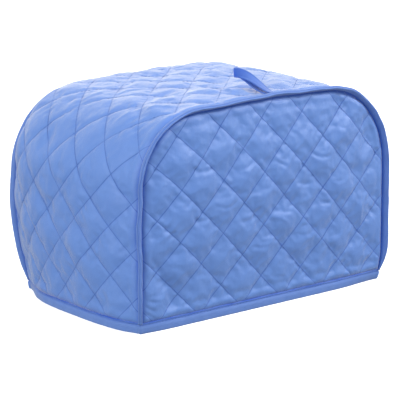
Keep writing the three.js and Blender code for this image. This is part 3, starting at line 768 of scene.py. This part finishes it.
def thickened(mesh, name, spec):
    """Gives the face its fine relief and its inner side, and closes the cut edge."""
    quilt = spec["quilt"]
    points = coordinates(mesh)
    normals = read_values(mesh.vertex_normals, "vector", 3)
    flat = np.zeros((len(points), 2))
    flat[corner_points(mesh)] = read_values(mesh.uv_layers[0].data, "uv", 2)
    a, b = flat[:, 0], flat[:, 1]
    inside = inside_distance(spec["outline"], a, b)
    edge = smooth(inside / EDGE_FADE)
    relief = puckers(quilt, a, b) + crescents(quilt, a, b) + wrinkled(spec["wrinkles"], a, b)
    outer = points + normals * (relief * edge + edge_puff(inside))[:, None]
    pillow = padding(quilt, a, b)
    depth = INNER_CLOTH + INNER_PILLOW * pillow * edge + spec["fullness"](a) * pillow * edge
    inner = points - normals * depth[:, None]
    faces = [list(poly.vertices) for poly in mesh.polygons]
    directed = {pair: True for face in faces for pair in zip(face, face[1:] + face[:1])}
    rim = [pair for pair in directed if (pair[1], pair[0]) not in directed]
    count = len(points)
    all_faces = faces + [[count + k for k in face[::-1]] for face in faces]
    all_faces += [[j, i, count + i, count + j] for i, j in rim]
    whole = bpy.data.meshes.new(name)
    whole.from_pydata(np.concatenate([outer, inner]).tolist(), [], all_faces)
    whole.update()
    write_flat_map(whole, np.concatenate([flat, flat]))
    # Painted shade beside the bindings, the same on both faces
    shade = spec["shade"](a, b, inside)
    write_painted_shade(whole, np.concatenate([shade, shade]))
    whole.shade_smooth()
    bpy.data.meshes.remove(mesh)
    return whole


def travelled(points):
    """The length along a line of points, at each of them."""
    steps = np.linalg.norm(np.diff(points, axis=0), axis=1)
    return np.concatenate([[0], np.cumsum(steps)])


def tube_faces(first, count, size, closed=False):
    """Faces through rings of points, with an end at either side unless it is closed."""
    faces = []
    for r in range(count if closed else count - 1):
        here, following = first + r * size, first + (r + 1) % count * size
        for k in range(size):
            m = (k + 1) % size
            faces.append([here + k, here + m, following + m, following + k])
    if not closed:
        faces.append([first + k for k in range(size)][::-1])
        faces.append([first + (count - 1) * size + k for k in range(size)])
    return faces


def swept(name, rings, closed, material, shades):
    """A closed body through rings of points, with the length and the girth as its map."""
    rings = np.asarray(rings)
    count, size = rings.shape[:2]
    piece = object_from(name, rings.reshape(-1, 3), tube_faces(0, count, size, closed), material)
    lengths = travelled(rings.mean(axis=1))
    girths = np.linalg.norm(np.roll(rings[0], -1, axis=0) - rings[0], axis=1)
    girths = np.concatenate([[0], np.cumsum(girths)[:-1]])
    flat = np.stack(np.meshgrid(lengths, girths, indexing="ij"), -1).reshape(-1, 2)
    write_flat_map(piece.data, flat)
    write_painted_shade(piece.data, np.broadcast_to(shades, (count, size)).ravel().astype(float))
    mesh = bmesh.new()
    mesh.from_mesh(piece.data)
    if mesh.calc_volume(signed=True) < 0:
        bmesh.ops.reverse_faces(mesh, faces=mesh.faces[:])
    mesh.to_mesh(piece.data)
    mesh.free()
    piece.data.shade_smooth()
    return piece


def fold_section(profile):
    """A folded tape's section from (out, half-thickness) pairs, one side and back."""
    return [(out, -half) for out, half in profile] + [(out, half) for out, half in profile[::-1]]


def ridge_place(side, along, out, aside):
    """A place on the seam ridge, which stands out between the panel and the band."""
    x, z, nx, nz = arch(along)
    millimetres = along * 1000
    sway = 0.07 * np.sin(millimetres / 17 + side) + 0.05 * np.sin(millimetres / 7.3 + side)
    lean = math.pi / 4 + sway
    lean = lean + (BACK_RIDGE_LEAN if side > 0 else FRONT_RIDGE_LEAN) * np.clip(nz, 0, 1)
    below = 1 - np.clip((z - HEM_HEIGHT) / RIDGE_FOOT_FADE, 0, 1)
    out = out * (1 - (1 - RIDGE_FOOT_SHARE) * below**2)
    off = out * np.cos(lean) + aside * math.sin(math.pi / 4)
    forward = out * np.sin(lean) - aside * math.cos(math.pi / 4)
    return settle(x + nx * off, side * (SEAM_DEPTH / 2 + forward), z + nz * off)


def ridge_shape(side, along, out, aside):
    """The ridge with the small ripples of tape that is sewn round a curve."""
    share = np.clip(out / RIDGE_HEIGHT, 0, 1)
    ripple = soft_noise(along / 0.011, side + 5) + 0.5 * soft_noise(along / 0.0047, side + 9)
    swell = 1 + 0.10 * soft_noise(along / 0.006, side + 13)
    tip = 0.00022 * soft_noise(along / 0.009, side + 21)
    return ridge_place(side, along, out + tip * share, aside * swell + 0.00035 * ripple * share)


def seam_binding(name, side, material):
    section = np.array(fold_section(RIDGE_PROFILE))
    foot = HEM_HEIGHT - FOOT_SUNK
    marks = np.linspace(foot, ARCH_LENGTH - foot, RIDGE_RINGS)
    rings = [ridge_shape(side, mark, section[:, 0], section[:, 1]) for mark in marks]
    # Painted shade: dark at the ridge's root, in the groove along its tip, and more along the right end
    shades = 0.9 * smooth((RIDGE_PAINTED_SHADE_END - section[:, 0]) / RIDGE_PAINTED_SHADE_END)
    groove = np.abs(section[:, 1]) < 0.0002
    shades += 0.35 * groove
    right_end = smooth((marks - LEFT_RISE - LEFT_ARC - TOP_RUN) / RIGHT_ARC)
    shades = np.clip(shades + 0.22 * right_end[:, None], 0, 1)
    return swept(name, rings, False, material, shades)


def hem_path():
    """Points round the hem's middle line, each with its outward direction and reach."""
    half_x, half_y = SEAM_WIDTH / 2, SEAM_DEPTH / 2
    stations = []
    ends = np.linspace(-1, 1, 121)[1:-1]
    sides = np.linspace(-1, 1, 91)[1:-1]

    def corner(x, y):
        middle = math.atan2(y, x)
        for turn in np.linspace(-0.5, 0.5, 9):
            reach = 1 + (HEM_CORNER / HEM_HALF - 1) * math.cos(math.pi * turn) ** 0.7
            stations.append((x, y, middle + turn * math.pi / 2, reach))

    def side(sign, shares):
        for share in shares:
            x = sign * (half_x + float(band_foot_bow(share * half_y)))
            stations.append((x, share * half_y, 0.0 if sign > 0 else math.pi, 1.0))

    corner(-half_x, -half_y)
    stations.extend((share * half_x, -half_y, -math.pi / 2, 1.0) for share in ends)
    corner(half_x, -half_y)
    side(1, sides)
    corner(half_x, half_y)
    stations.extend((-share * half_x, half_y, math.pi / 2, 1.0) for share in ends)
    corner(-half_x, half_y)
    side(-1, sides[::-1])
    return stations


def band_foot_bow(across):
    off = np.clip(np.abs(across) / BAND_HALF, 0, 1)
    return SIDE_BOW * HEM_BOW_SHARE * (1 - off**SIDE_FULLNESS)


def hem_point(station, out, up):
    x, y, heading, reach = station
    stretched = np.where(out > 0, out * reach, out)
    return settle(x + math.cos(heading) * stretched, y + math.sin(heading) * stretched, up)


def hem_binding(name, material):
    rings = []
    length = 0.0
    stations = hem_path()
    section = fold_section(HEM_PROFILE)
    for k, station in enumerate(stations):
        before = stations[k - 1]
        length += math.hypot(station[0] - before[0], station[1] - before[1])
        swell = 1 + 0.09 * float(soft_noise(length / 0.007, 31))
        lean = 0.0004 * float(soft_noise(length / 0.016, 37))
        top = 0.0003 * float(soft_noise(length / 0.010, 43))
        ring = []
        for up, half in section:
            share = up / HEM_HEIGHT
            ring.append(hem_point(station, -half * swell + lean * share, up + top * share**3))
        rings.append(ring)
    up = np.array([up for up, half in section])
    # Painted shade along the hem's top edge, where it meets the cloth, and along its stitch line,
    # wandering in strength
    top_edge = smooth((up - 0.0082) / 0.0015)
    sewn_line = np.exp(-(((up - 0.0080) / 0.0006) ** 2))
    shades = 0.8 * top_edge + 0.35 * sewn_line
    wander = 0.85 + 0.35 * soft_noise(np.arange(len(stations)) / 3.5, 59)
    return swept(name, rings, True, material, shades * wander[:, None])


def tape_loop(name, material):
    """One tape folded in half: its legs start flat, one on the other, and turn on edge."""
    leg_steps, fold_steps = 44, 18
    spine = []

    def leg(sign, share, round_fold=0.0):
        turn = LOOP_FOOT_TURN + (LOOP_TIP_TURN - LOOP_FOOT_TURN) * share**LOOP_TURN_POWER
        half = LOOP_FOOT_SPREAD + (LOOP_TIP_SPREAD - LOOP_FOOT_SPREAD) * float(smooth(share * 2))
        half = (half + LOOP_SPREAD * math.sin(math.pi * share) ** 1.5) * math.cos(round_fold)
        low = LOOP_BASE_RISE + (LOOP_TIP_RISE - LOOP_BASE_RISE) * float(smooth(share))
        start = -SEAM_DEPTH / 2 - LOOP_START_PAST
        y = start + (LOOP_START_INSET + LOOP_START_PAST + LOOP_LENGTH - LOOP_TIP_SPREAD) * share
        y = y + LOOP_TIP_SPREAD * math.sin(round_fold)
        x = LOOP_FOOT_ASIDE * (1 - share) + sign * half * math.sin(turn)
        return x, y, low - sign * half * math.cos(turn), (math.cos(turn), math.sin(turn)), turn

    spine += [leg(-1, k / leg_steps) for k in range(leg_steps + 1)]
    spine += [leg(-1, 1, math.pi * k / fold_steps) for k in range(1, fold_steps)]
    spine += [leg(1, k / leg_steps) for k in range(leg_steps, -1, -1)]
    middle = LEFT_RISE + LEFT_ARC + SEAM_WIDTH / 2 - LEFT_RADIUS + LOOP_CENTRE
    lows = np.array([on_band(middle + x, y, low) for x, y, low, wide, turn in spine])
    highs = np.array(
        [
            on_band(middle + x + wide[0] * LOOP_WIDTH, y, low + wide[1] * LOOP_WIDTH)
            for x, y, low, wide, turn in spine
        ]
    )
    centre = (lows + highs) / 2
    travel = np.gradient(centre, axis=0)
    travel /= np.linalg.norm(travel, axis=1, keepdims=True)
    wide = highs - lows
    face = np.cross(travel, wide)
    face /= np.linalg.norm(face, axis=1, keepdims=True)
    section = fold_section(LOOP_PROFILE)
    rings = [
        [lows[k] + wide[k] * (out / LOOP_WIDTH) + face[k] * half for out, half in section]
        for k in range(len(spine))
    ]
    # Painted shade on the loop's faces, darker as they turn upright and weaker along the upper edge
    upright = np.array([smooth(turn / LOOP_TIP_TURN) for x, y, low, wide, turn in spine])
    outs = np.array([out for out, half in section])
    shades = (0.35 + 0.40 * upright[:, None]) * (1 - 0.7 * (outs > 0.88 * LOOP_WIDTH))
    return swept(name, rings, False, material, shades)


def stitched(name, runs, material):
    """Short thread stitches along runs of points, each sunk at both ends."""
    points, faces = [], []
    for starts, ends, ups in runs:
        for start, end, up in zip(starts, ends, ups):
            along = end - start
            across = np.cross(along, up)
            across /= np.linalg.norm(across)
            rise = np.cross(across, along)
            rise /= np.linalg.norm(rise)
            faces += tube_faces(len(points), len(THREAD_PROFILE), THREAD_SIDES)
            for share, width in THREAD_PROFILE:
                centre = start + along * share - rise * (THREAD_SINK * (1 - width))
                for k in range(THREAD_SIDES):
                    turn = 2 * math.pi * k / THREAD_SIDES
                    offset = across * math.cos(turn) + rise * math.sin(turn)
                    points.append(centre + offset * (THREAD * width))
    return object_from(name, points, faces, material)


def stitch_run(place, path, lift):
    """Stitches along a path of flat places: their starts, ends and upward directions."""
    lengths = travelled(path)
    pitch = STITCH_LENGTH + STITCH_GAP
    count = int((lengths[-1] - STITCH_GAP) // pitch)
    if count < 1:
        return None
    first = (lengths[-1] - count * pitch + STITCH_GAP) / 2 + pitch * np.arange(count)

    def at(length, rise):
        return place(*(np.interp(length, lengths, column) for column in path.T), rise)

    starts, ends = at(first, lift), at(first + STITCH_LENGTH, lift)
    ups = at(first + STITCH_LENGTH / 2, lift + 0.001) - at(first + STITCH_LENGTH / 2, lift)
    return starts, ends, ups


def quilting_thread(name, spec, material):
    outline, quilt = spec["outline"], spec["quilt"]
    corners = np.array(outline)
    p, q = quilt_places(quilt, corners[:, 0], corners[:, 1])

    def surface(a, b, rise):
        edge = smooth(inside_distance(outline, a, b) / EDGE_FADE)
        return spec["place"](a, b, CLOTH / 2 + edge * creased(spec["creases"], a, b) + rise)

    runs = []
    for swapped, here, along in ((False, p, q), (True, q, p)):
        for line in range(math.floor(here.min()), math.ceil(here.max()) + 1):
            walk = np.linspace(math.floor(along.min()) - 1, math.ceil(along.max()) + 1, 600)
            flat_p, flat_q = (walk, line + 0 * walk) if swapped else (line + 0 * walk, walk)
            a, b = flat_places(quilt, flat_p, flat_q)
            kept = inside_distance(outline, a, b) > EDGE_INSET
            if kept.sum() > 4:
                run = stitch_run(surface, np.stack([a[kept], b[kept]], 1), QUILTING_LIFT)
                if run:
                    runs.append(run)
    return stitched(name, runs, material)


def ridge_thread(name, side, material):
    out, aside = RIDGE_STITCH
    ends = (RIDGE_STITCH_START, ARCH_LENGTH - RIDGE_STITCH_START)
    path = np.linspace(*ends, 400)[:, None]
    runs = []
    for face in (-1, 1):

        def place(along, rise):
            return ridge_shape(side, along, out, face * (aside + rise))

        runs.append(stitch_run(place, path, TAPE_LIFT))
    return stitched(name, runs, material)


def hem_thread(name, material):
    stations = hem_path()
    stations.append(stations[0])
    out, up = HEM_STITCH
    runs = []
    for face in (-1, 1):
        line = np.array([hem_point(s, face * (out + TAPE_LIFT), up) for s in stations])
        over = np.array([hem_point(s, face * (out + TAPE_LIFT + 0.001), up) for s in stations])
        lengths = travelled(line)
        pitch = STITCH_LENGTH + STITCH_GAP
        first = pitch * np.arange(int(lengths[-1] // pitch))

        def at(where, source):
            return np.stack([np.interp(where, lengths, source[:, k]) for k in range(3)], -1)

        starts, ends = at(first, line), at(first + STITCH_LENGTH, line)
        ups = at(first + STITCH_LENGTH / 2, over) - at(first + STITCH_LENGTH / 2, line)
        runs.append((starts, ends, ups))
    return stitched(name, runs, material)


class Nodes:
    """A new material and its shader, with helpers that add and link nodes."""

    def __init__(self, name, roughness, sheen, specular):
        self.material = bpy.data.materials.new(name)
        self.material.use_nodes = True
        self.tree = self.material.node_tree
        self.shader = self.tree.nodes["Principled BSDF"]
        settings = {
            "Roughness": roughness, "Sheen Weight": sheen, "Sheen Roughness": 0.35,
            "Sheen Tint": (1.0, 0.97, 0.90, 1.0), "Specular IOR Level": specular,
        }
        for key, value in settings.items():
            self.shader.inputs[key].default_value = value

    def add(self, kind, inputs=(), **settings):
        node = self.tree.nodes.new(kind)
        for key, value in settings.items():
            setattr(node, key, value)
        for key, value in dict(inputs).items():
            self.give(node.inputs[key], value)
        return node

    def give(self, socket, value):
        """Links or sets one input."""
        if isinstance(value, bpy.types.NodeSocket):
            self.tree.links.new(value, socket)
        else:
            socket.default_value = value

    def math(self, operation, first, second=0.0):
        return self.add("ShaderNodeMath", {0: first, 1: second}, operation=operation).outputs[0]

    def noise(self, place, scale, detail):
        settings = {"Vector": place, "Scale": scale, "Detail": detail}
        return self.add("ShaderNodeTexNoise", settings).outputs[0]

    def fade(self, value, start, end, first, last):
        """A smooth change from one value to another between two places."""
        settings = {"Value": value, "From Min": start, "From Max": end, "To Min": first, "To Max": last}
        kind = "ShaderNodeMapRange"
        return self.add(kind, settings, interpolation_type="SMOOTHSTEP").outputs[0]

    def colour(self, share, first, second):
        """Mixes two colours, each given as a value or as a socket."""
        mix = self.add("ShaderNodeMix", {"Factor": share}, data_type="RGBA")
        colour_sockets = [s for s in mix.inputs if s.type == "RGBA"]
        for socket, value in zip(colour_sockets, (first, second)):
            self.give(socket, value)
        return mix.outputs[2]

    def finish(self, colour, height, strength):
        """Gives the shader its colour, with painted shade beside the seams, and its relief."""
        depth = self.add("ShaderNodeAttribute", attribute_name="painted_seam_shade").outputs["Fac"]
        self.give(self.shader.inputs["Base Color"], self.colour(depth, colour, PAINTED_SHADE_COLOUR))
        settings = {"Height": height, "Strength": strength, "Distance": BUMP_DEPTH}
        self.give(self.shader.inputs["Normal"], self.add("ShaderNodeBump", settings).outputs[0])
        return self.material


def line_nearness(nodes, place):
    """1 on a stitch line and 0 away from it, for a place counted in squares."""
    offset = nodes.math("ABSOLUTE", nodes.math("SUBTRACT", place, nodes.math("ROUND", place)))
    return nodes.fade(offset, 0.0, LINE_SHADE_WIDTH, 1.0, 0.0)


def woven_height(nodes, flat, thread, cross):
    """Height of a plain weave with the given thread spacing, from the flat map."""
    scale = 1 / thread
    split = nodes.add("ShaderNodeSeparateXYZ", {"Vector": flat})
    u = nodes.math("MULTIPLY", split.outputs[0], scale * math.pi)
    v = nodes.math("MULTIPLY", split.outputs[1], scale * cross * math.pi)
    weave = nodes.math("MULTIPLY", nodes.math("SINE", u), nodes.math("SINE", v))
    return nodes.math("ABSOLUTE", weave)


def cloth_material(name, quilt):
    nodes = Nodes(name, roughness=0.42, sheen=0.62, specular=0.70)
    flat = nodes.add("ShaderNodeUVMap", uv_map="flat").outputs[0]
    a, b = nodes.add("ShaderNodeSeparateXYZ", {"Vector": flat}).outputs[:2]
    right = nodes.math("SUBTRACT", a, quilt["crossing"][0])
    right = nodes.math("DIVIDE", right, quilt["across"])
    up = nodes.math("SUBTRACT", b, quilt["crossing"][1])
    up = nodes.math("DIVIDE", up, quilt["up"])
    p = nodes.math("MULTIPLY", nodes.math("ADD", right, up), 0.5)
    q = nodes.math("MULTIPLY", nodes.math("SUBTRACT", right, up), 0.5)
    # Painted shade along the stitch lines, weaker over the top of the band
    lines = nodes.math("MAXIMUM", line_nearness(nodes, p), line_nearness(nodes, q))
    if quilt is BAND_QUILT:
        lines = nodes.math("MULTIPLY", lines, nodes.fade(a, LINE_SHADE_FADE_START, LINE_SHADE_FADE_END, 1.0, LINE_SHADE_ON_TOP))
    patches = nodes.colour(nodes.noise(flat, scale=38.0, detail=3.0), *CLOTH_COLOURS)
    mottled = nodes.noise(flat, scale=900.0, detail=2.0)
    rumpled = nodes.noise(flat, scale=160.0, detail=4.0)
    colour = nodes.colour(lines, patches, LINE_PAINTED_SHADE_COLOUR)
    height = nodes.math("MULTIPLY", woven_height(nodes, flat, *CLOTH_WEAVE), 0.6)
    height = nodes.math("ADD", height, nodes.math("MULTIPLY", mottled, 0.7))
    height = nodes.math("ADD", height, nodes.math("MULTIPLY", rumpled, 5.0))
    return nodes.finish(colour, height, strength=0.5)


def tape_material(name):
    nodes = Nodes(name, roughness=0.52, sheen=0.35, specular=0.4)
    flat = nodes.add("ShaderNodeUVMap", uv_map="flat").outputs[0]
    colour = nodes.colour(nodes.noise(flat, scale=120.0, detail=3.0), *TAPE_COLOURS)
    return nodes.finish(colour, woven_height(nodes, flat, *TAPE_WEAVE), strength=0.3)


def thread_material(name):
    nodes = Nodes(name, roughness=0.55, sheen=0.0, specular=0.3)
    place = nodes.add("ShaderNodeTexCoord").outputs["Object"]
    colour = nodes.colour(nodes.noise(place, scale=700.0, detail=1.0), *THREAD_COLOURS)
    nodes.give(nodes.shader.inputs["Base Color"], colour)
    return nodes.material


def placed_light(name, place, aim, size, power, gloss_only):
    light = bpy.data.lights.new(name, "AREA")
    light.shape = "RECTANGLE"
    light.size, light.size_y = size
    light.energy = power
    lamp = bpy.data.objects.new(name, light)
    lamp.location = place
    lamp.rotation_euler = (Vector(aim) - Vector(place)).to_track_quat("-Z", "Y").to_euler()
    lamp.visible_diffuse = not gloss_only
    bpy.context.scene.collection.objects.link(lamp)


def studio():
    """The camera at the photograph's view, a plain pale floor and soft studio light."""
    scene = bpy.context.scene
    scene.view_settings.view_transform = "Standard"
    lens = bpy.data.cameras.new("camera")
    lens.sensor_width = 36
    lens.lens = FOCAL_LENGTH
    lens.clip_start = 0.05
    camera = bpy.data.objects.new("camera", lens)
    yaw, pitch, roll = (math.radians(v) for v in CAMERA_TURN)
    ahead = Vector(
        (math.sin(yaw) * math.cos(pitch), math.cos(yaw) * math.cos(pitch), -math.sin(pitch))
    )
    level = Vector((math.cos(yaw), -math.sin(yaw), 0))
    over = level.cross(ahead)
    right = level * math.cos(roll) + over * math.sin(roll)
    up = over * math.cos(roll) - level * math.sin(roll)
    turn = Matrix((right, up, -ahead)).transposed().to_4x4()
    camera.matrix_world = Matrix.Translation(CAMERA_PLACE) @ turn
    scene.collection.objects.link(camera)
    scene.camera = camera

    mesh = bpy.data.meshes.new("floor")
    corners = [(x * FLOOR_HALF, y * FLOOR_HALF, 0) for x, y in ((-1, -1), (1, -1), (1, 1), (-1, 1))]
    mesh.from_pydata(corners, [], [(0, 1, 2, 3)])
    floor = bpy.data.objects.new("floor", mesh)
    scene.collection.objects.link(floor)
    paint = bpy.data.materials.new("pale_floor")
    paint.use_nodes = True
    finish = paint.node_tree.nodes["Principled BSDF"]
    finish.inputs["Base Color"].default_value = (0.9, 0.9, 0.9, 1)
    finish.inputs["Roughness"].default_value = 0.9
    finish.inputs["Emission Color"].default_value = (1, 1, 1, 1)
    finish.inputs["Emission Strength"].default_value = 0.6
    mesh.materials.append(paint)
    floor.visible_diffuse = False
    floor.visible_glossy = False
    floor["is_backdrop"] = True

    world = bpy.data.worlds.new("studio")
    world.use_nodes = True
    nodes, links = world.node_tree.nodes, world.node_tree.links
    split = nodes.new("ShaderNodeSeparateXYZ")
    ramp = nodes.new("ShaderNodeMapRange")
    for key, value in (("From Min", -1), ("From Max", 1), ("To Min", SKY_LOW), ("To Max", SKY_HIGH)):
        ramp.inputs[key].default_value = value
    links.new(nodes.new("ShaderNodeTexCoord").outputs["Generated"], split.inputs[0])
    links.new(split.outputs[2], ramp.inputs["Value"])
    links.new(ramp.outputs[0], nodes["Background"].inputs["Strength"])
    nodes["Background"].inputs["Color"].default_value = (1, 1, 1, 1)
    scene.world = world
    for light in LIGHTS:
        placed_light(*light)


studio()

panel_cloth = cloth_material("quilted_panel_cloth", PANEL_QUILT)
band_cloth = cloth_material("quilted_band_cloth", BAND_QUILT)
tape = tape_material("folded_tape")
thread = thread_material("sewing_thread")

bindings = {
    "front_seam_binding": seam_binding("front_seam_binding_tape", -1, tape),
    "back_seam_binding": seam_binding("back_seam_binding_tape", 1, tape),
    "hem_binding": hem_binding("hem_binding_tape", tape),
}
tape_threads = [
    ridge_thread("front_seam_stitches", -1, thread),
    ridge_thread("back_seam_stitches", 1, thread),
    hem_thread("hem_stitches", thread),
]
loop = tape_loop("tape_loop_strip", tape)

front_seam = [bindings["front_seam_binding"], tape_threads[0]]
back_seam = [bindings["back_seam_binding"], tape_threads[1]]
hem = [bindings["hem_binding"], tape_threads[2]]

corners_off = (1 - math.pi / 4) * (LEFT_RADIUS**2 + RIGHT_RADIUS**2)
PANEL = {
    "outline": panel_outline(EDGE_INSET, HEM_HEIGHT - EDGE_INSET),
    "quilt": PANEL_QUILT,
    "finish": panel_cloth,
    "fullness": panel_fullness,
    "shade": panel_painted_shade,
    "cut": (SEAM_WIDTH, SEAM_HEIGHT),
    "area": SEAM_WIDTH * SEAM_HEIGHT - corners_off,
}
BAND = {
    "outline": band_outline(EDGE_INSET, HEM_HEIGHT - EDGE_INSET),
    "quilt": BAND_QUILT,
    "finish": band_cloth,
    "fullness": band_fullness,
    "shade": band_painted_shade,
    "cut": (ARCH_LENGTH, SEAM_DEPTH),
    "area": None,
}
CLOTHS = {
    "front_panel": dict(
        PANEL, creases=FRONT_CREASES, wrinkles=FRONT_WRINKLES, place=on_front,
        cells=14, mirrored=False, beside=front_seam + hem,
    ),
    "back_panel": dict(
        PANEL, creases=BACK_CREASES, wrinkles=BACK_WRINKLES, place=on_back,
        cells=12, mirrored=True, beside=back_seam + hem,
    ),
    "side_and_top_band": dict(
        BAND, creases=BAND_CREASES, wrinkles=BAND_WRINKLES, place=on_band,
        cells=10, mirrored=False, beside=front_seam + back_seam + hem,
    ),
}

for node, spec in CLOTHS.items():
    piece = quilted_piece(node + "_cloth", spec)
    sewing = quilting_thread(node + "_quilting", spec, thread)
    for part in (piece, sewing):
        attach(part, "root")
    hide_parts(node)
    cut, area, beside = spec["cut"], spec["area"], spec["beside"]
    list(beside)

for node, piece in bindings.items():
    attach(piece, "root")
    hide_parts(node)
for piece in tape_threads:
    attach(piece, "root")
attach(loop, "root")
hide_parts("tape_loop")

boxes = [[[float(v) for v in corner] for corner in box] for box in (cad_box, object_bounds())]
